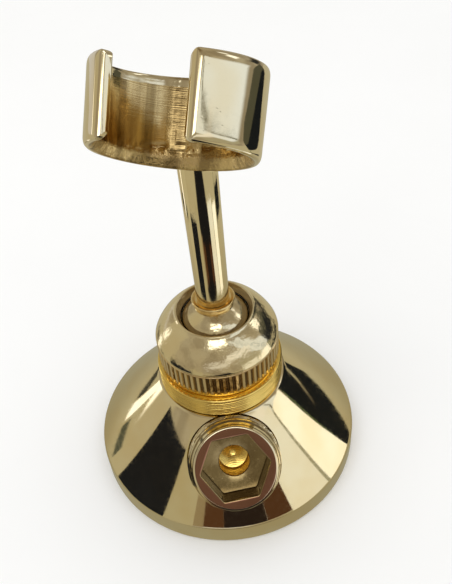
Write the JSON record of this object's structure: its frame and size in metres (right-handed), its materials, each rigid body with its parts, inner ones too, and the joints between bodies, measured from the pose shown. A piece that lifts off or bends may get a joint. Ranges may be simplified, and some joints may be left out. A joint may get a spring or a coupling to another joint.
{
  "type": "hand shower wall bracket with water outlet",
  "caption": "Wall bracket for a hand shower: conical flange with a threaded water outlet, a knurled swivel nut, a ball-jointed arm and an open cup.",
  "frame": {"origin": "centre of the flange's wall face", "axes": "+Z out of the wall along the swivel axis, -Y towards the side that the water outlet faces"},
  "size_m": [0.064, 0.0653, 0.1137],
  "materials": {
    "polished_brass": "mirror polished, pale gold plated",
    "turned_brass": "fine turned, gold plated",
    "cast_brass": "cast, polished outside and rough inside, gold plated",
    "rubber": "matt black",
    "nylon": "white nylon",
    "fibre": "red fibre washer",
    "stainless": "bright stainless steel"
  },
  "bodies": {
    "base": {"flange_body": "polished_brass", "ball_housing": "turned_brass", "wall_gasket": "rubber", "inlet_washer": "fibre", "inlet_screen": "stainless", "outlet_nipple": "turned_brass", "outlet_seal": "rubber", "wave_washer": "stainless"},
    "crown_seat": {"upper_ball_seat": "nylon"},
    "nut": {"swivel_nut": "polished_brass"},
    "socket_seat": {"lower_ball_seat": "nylon"},
    "ball": {"swivel_ball": "polished_brass"},
    "arm": {"arm_rod": "polished_brass", "cup": "cast_brass"}
  },
  "joints": [
    {"name": "nut_rise", "type": "slide", "parent": "base", "child": "crown_seat", "axis": [0, 0, 1], "range_m": [0, 0.00102]},
    {"name": "nut_turn", "type": "hinge", "parent": "crown_seat", "child": "nut", "pos_m": [0, 0, 0.0386], "axis": [0, 0, 1], "range_deg": [0, 360]},
    {"name": "arm_swing", "type": "hinge", "parent": "base", "child": "socket_seat", "pos_m": [0, 0, 0.0386], "axis": [0, 0, 1], "continuous": true},
    {"name": "arm_tilt", "type": "hinge", "parent": "socket_seat", "child": "ball", "pos_m": [0, 0, 0.0386], "axis": [1, 0, 0], "range_deg": [-15, 23]},
    {"name": "arm_spin", "type": "hinge", "parent": "ball", "child": "arm", "pos_m": [0, 0, 0.0386], "axis": [0, 0.0698, 0.9976], "continuous": true}
  ],
  "couplings": [
    {"joint": "nut_rise", "follows": "nut_turn", "m_per_rad": 0.00015915}
  ]
}
